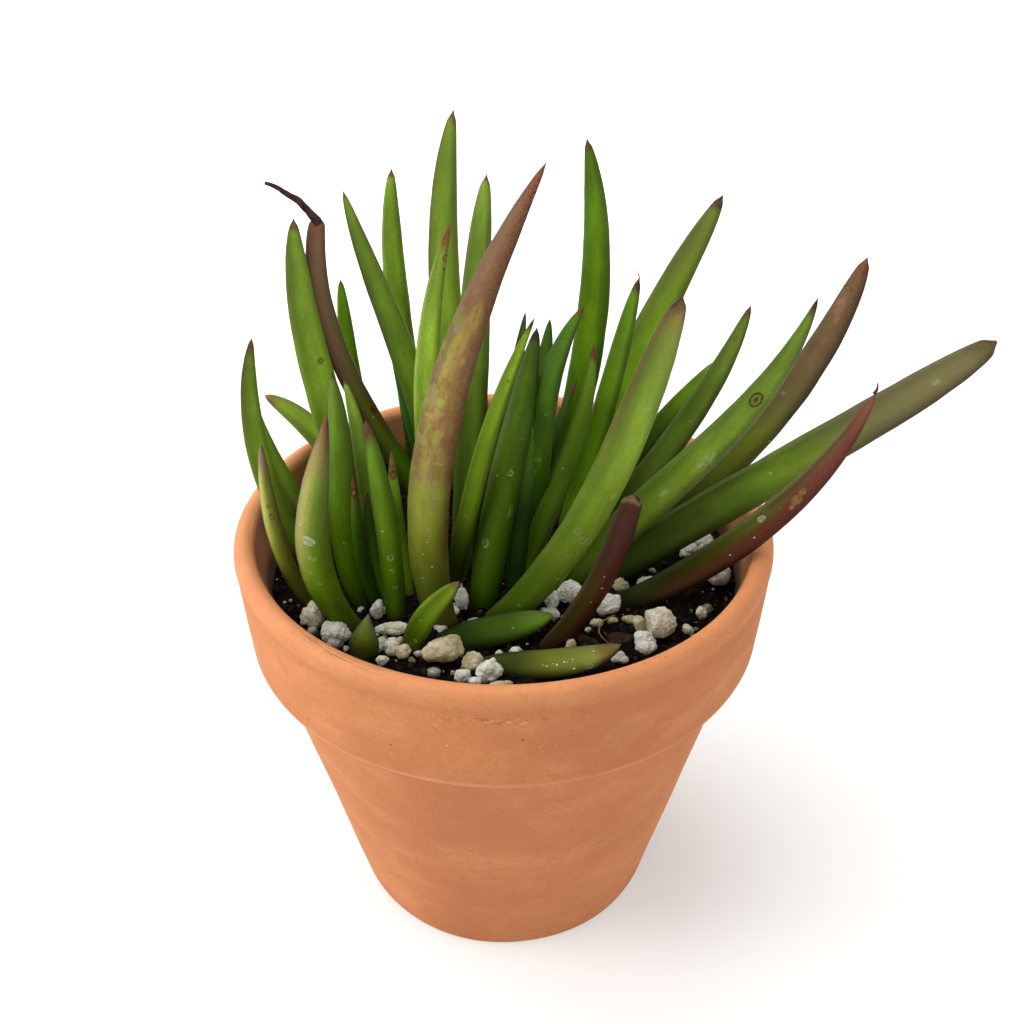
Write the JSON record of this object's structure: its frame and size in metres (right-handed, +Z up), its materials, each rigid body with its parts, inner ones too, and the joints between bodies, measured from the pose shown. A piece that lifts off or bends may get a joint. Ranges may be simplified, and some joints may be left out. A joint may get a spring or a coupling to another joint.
{
  "type": "potted succulent plant",
  "caption": "Fleshy pointed leaves that rise and lean from dark soil dotted with pumice, in a tapered round terracotta pot with a deep collar and a drain hole.",
  "frame": {"origin": "middle of the whole plant's bounding box, on the surface that the pot stands on; the pot's own axis is 18.6 mm to the left of it, at X = -0.0186 m, because the leaves lean out to the right", "axes": "+Z up; +X to the right, the way the longest leaves lean out over the rim; -Y towards the viewer of the pot's front"},
  "size_m": [0.1453, 0.108, 0.1659],
  "materials": {
    "terracotta": "matte",
    "soil": "matte",
    "leaf_green": "satin",
    "leaf_olive": "satin",
    "leaf_tan": "satin",
    "leaf_wine": "satin",
    "pumice": "matte"
  },
  "bodies": {
    "root": {"pot": "terracotta", "soil": "soil", "leaf_left_edge": "leaf_green", "leaf_left_edge_back": "leaf_green", "leaf_left_front_slim": "leaf_olive", "leaf_left_low": "leaf_green", "leaf_left_tan": "leaf_tan", "leaf_left_broad": "leaf_green", "leaf_left_strip": "leaf_green", "leaf_left_rust_tip_high": "leaf_green", "leaf_left_rust_tip_low": "leaf_green", "leaf_left_round_tip": "leaf_green", "leaf_left_rust_tip_inner": "leaf_green", "leaf_back_left_tall": "leaf_green", "leaf_back_left_withered": "leaf_wine", "leaf_back_left_narrow": "leaf_green", "leaf_back_left_long": "leaf_green", "leaf_back_left_blue": "leaf_green", "leaf_back_left_upright": "leaf_green", "leaf_back_tallest": "leaf_green", "leaf_middle_light": "leaf_green", "leaf_middle_slim": "leaf_green", "leaf_back_right_tall": "leaf_green", "leaf_middle_low_left": "leaf_green", "leaf_middle_low_right": "leaf_green", "leaf_middle_small": "leaf_green", "leaf_front_red": "leaf_wine", "leaf_front_leaning": "leaf_green", "leaf_front_centre": "leaf_green", "leaf_front_dark": "leaf_green", "leaf_front_hooked": "leaf_green", "leaf_front_bright": "leaf_green", "leaf_front_tiny_tip": "leaf_green", "leaf_front_broad": "leaf_green", "leaf_front_stub": "leaf_wine", "leaf_front_flat_upper": "leaf_green", "leaf_front_flat_lower": "leaf_green", "leaf_front_sprout": "leaf_green", "leaf_front_corner_sprout": "leaf_green", "leaf_right_hair_tip": "leaf_green", "leaf_right_upper_long": "leaf_green", "leaf_right_middle": "leaf_green", "leaf_right_middle_back": "leaf_green", "leaf_right_long": "leaf_green", "leaf_right_brown": "leaf_wine", "leaf_right_farthest": "leaf_green", "leaf_right_red": "leaf_wine", "granule_left_wall": "pumice", "granule_left_lump": "pumice", "granule_left_slab": "pumice", "granule_front_big": "pumice", "granule_front_round": "pumice", "granule_front_pale": "pumice", "granule_middle_white": "pumice", "granule_middle_small": "pumice", "granule_right_cream": "pumice", "granule_right_blue": "pumice", "granule_right_big": "pumice", "granule_right_front": "pumice", "granule_right_wall": "pumice"}
  },
  "joints": []
}
